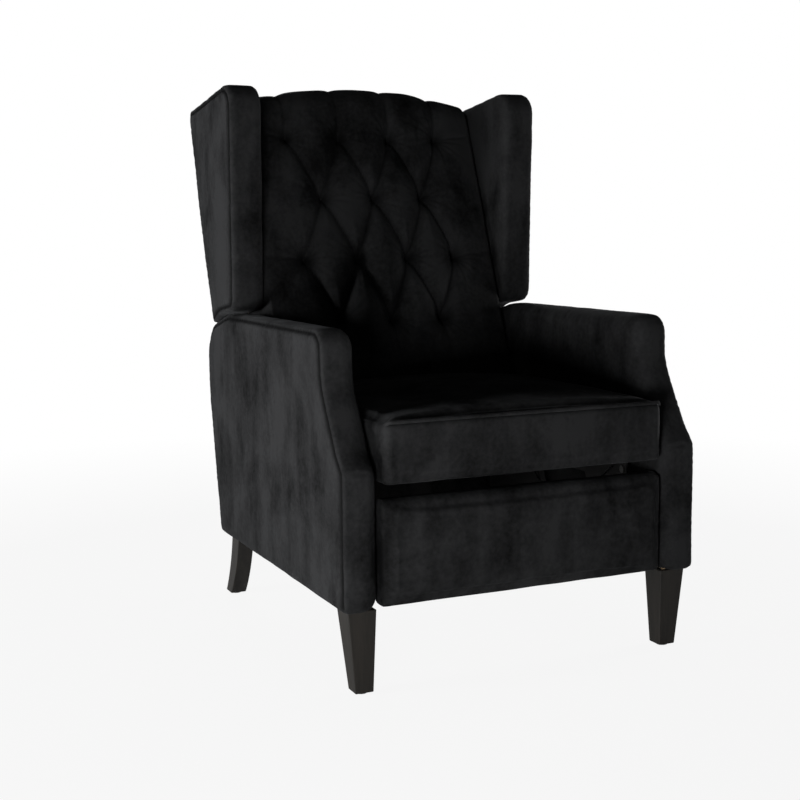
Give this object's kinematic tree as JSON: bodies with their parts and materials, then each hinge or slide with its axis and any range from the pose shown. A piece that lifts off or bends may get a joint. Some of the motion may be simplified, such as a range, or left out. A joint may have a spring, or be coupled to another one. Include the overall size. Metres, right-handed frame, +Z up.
{
  "type": "wingback push-back recliner",
  "caption": "High-leg wingback recliner with a diamond-tufted back, sloped arms, boxed seat, fold-out footrest on link arms and tapered wooden legs.",
  "frame": {"origin": "on the floor, under the middle of the chair's width and depth", "axes": "+X to the right of someone looking at the front, +Y from the front to the back, +Z up"},
  "size_m": [0.6794, 0.8634, 1.0414],
  "materials": {
    "velvet": "black short-pile velvet with a soft sheen",
    "piping": "black velvet welt",
    "leg_wood": "dark espresso stain under satin lacquer",
    "frame_wood": "sawn and sanded hardwood and plywood",
    "mechanism_steel": "black powder coat on stamped steel",
    "fastener_steel": "zinc-plated steel",
    "spring_steel": "oil-tempered wire",
    "webbing": "woven elastic webbing",
    "dust_cloth": "black spun-bonded dust cloth",
    "glide_plastic": "moulded nylon"
  },
  "bodies": {
    "base": {"arm_cover_right": "velvet", "arm_cover_left": "velvet", "arm_frame_right": "frame_wood", "arm_frame_left": "frame_wood", "front_leg_right": "leg_wood", "front_leg_left": "leg_wood", "rear_leg_right": "leg_wood", "rear_leg_left": "leg_wood", "base_plate_right": "mechanism_steel", "base_plate_left": "mechanism_steel", "leg_glides": "glide_plastic", "leg_bolts": "fastener_steel", "rear_panel_cover": "velvet", "rear_panel_rail": "frame_wood", "cross_tubes": "mechanism_steel", "base_rivets": "fastener_steel", "back_pivot_bolts": "fastener_steel", "base_screws": "fastener_steel"},
    "front_swing_links": {"front_swing_links": "mechanism_steel"},
    "rear_swing_links": {"rear_swing_links": "mechanism_steel"},
    "seat": {"seat_cushion": "velvet", "seat_cross_rails": "frame_wood", "seat_springs": "spring_steel", "seat_dust_cover": "dust_cloth", "seat_piping": "piping", "seat_rivets": "fastener_steel", "seat_screws": "fastener_steel", "seat_side_rail_right": "frame_wood", "seat_side_rail_left": "frame_wood", "seat_plate_right": "mechanism_steel", "seat_plate_left": "mechanism_steel"},
    "back": {"back_cushion": "velvet", "back_frame": "frame_wood", "back_webbing": "webbing", "back_panel": "velvet", "back_drive_pins": "fastener_steel", "back_screws": "fastener_steel", "wing_cover_right": "velvet", "wing_cover_left": "velvet", "wing_frame_right": "frame_wood", "wing_frame_left": "frame_wood", "back_bracket_right": "mechanism_steel", "back_bracket_left": "mechanism_steel"},
    "rear_links": {"rear_link_right": "mechanism_steel", "rear_link_left": "mechanism_steel", "rear_link_rivets": "fastener_steel"},
    "front_links": {"front_link_right": "mechanism_steel", "front_link_left": "mechanism_steel", "front_link_rivets": "fastener_steel"},
    "guide_links": {"guide_link_right": "mechanism_steel", "guide_link_left": "mechanism_steel"},
    "foot_links": {"foot_link_right": "mechanism_steel", "foot_link_left": "mechanism_steel"},
    "footrest": {"footrest_board": "frame_wood", "footrest_pad": "velvet", "footrest_rivets": "fastener_steel", "footrest_screws": "fastener_steel", "footrest_bracket_right": "mechanism_steel", "footrest_bracket_left": "mechanism_steel"}
  },
  "joints": [
    {"name": "recline", "type": "hinge", "parent": "base", "child": "back", "pos_m": [0, 0.2112, 0.44], "axis": [-1, 0, 0], "range_deg": [0, 30]},
    {"name": "front_swing", "type": "hinge", "parent": "base", "child": "front_swing_links", "pos_m": [0, -0.21895, 0.2189], "axis": [1, 0, 0], "range_deg": [0, 38]},
    {"name": "rear_swing", "type": "hinge", "parent": "base", "child": "rear_swing_links", "pos_m": [0, -0.02895, 0.2189], "axis": [1, 0, 0], "range_deg": [0, 38]},
    {"name": "seat_carry", "type": "hinge", "parent": "front_swing_links", "child": "seat", "pos_m": [0, -0.1788, 0.305], "axis": [-1, 0, 0], "range_deg": [0, 38]},
    {"name": "rear_link_fold", "type": "hinge", "parent": "seat", "child": "rear_links", "pos_m": [0, -0.3288, 0.318], "axis": [-1, 0, 0], "range_deg": [0, 128.82]},
    {"name": "front_link_fold", "type": "hinge", "parent": "rear_links", "child": "front_links", "pos_m": [0, -0.182, 0.20542], "axis": [1, 0, 0], "range_deg": [0, 100.29]},
    {"name": "guide_link_fold", "type": "hinge", "parent": "seat", "child": "guide_links", "pos_m": [0, -0.3041, 0.334], "axis": [-1, 0, 0], "range_deg": [0, 132.49]},
    {"name": "foot_link_fold", "type": "hinge", "parent": "rear_links", "child": "foot_links", "pos_m": [0, -0.1831, 0.23342], "axis": [1, 0, 0], "range_deg": [0, 102.92]},
    {"name": "footrest_turn", "type": "hinge", "parent": "front_links", "child": "footrest", "pos_m": [0, -0.3668, 0.214], "axis": [-1, 0, 0], "range_deg": [0, 59.47]}
  ],
  "couplings": [
    {"joint": "front_swing", "follows": "recline", "ratio": 1.2667},
    {"joint": "rear_swing", "follows": "recline", "ratio": 1.2667},
    {"joint": "seat_carry", "follows": "recline", "ratio": 1.2667},
    {"joint": "rear_link_fold", "follows": "recline", "ratio": 4.294},
    {"joint": "front_link_fold", "follows": "recline", "ratio": 3.343},
    {"joint": "guide_link_fold", "follows": "recline", "ratio": 4.4161},
    {"joint": "foot_link_fold", "follows": "recline", "ratio": 3.4306},
    {"joint": "footrest_turn", "follows": "recline", "ratio": 1.9823}
  ]
}
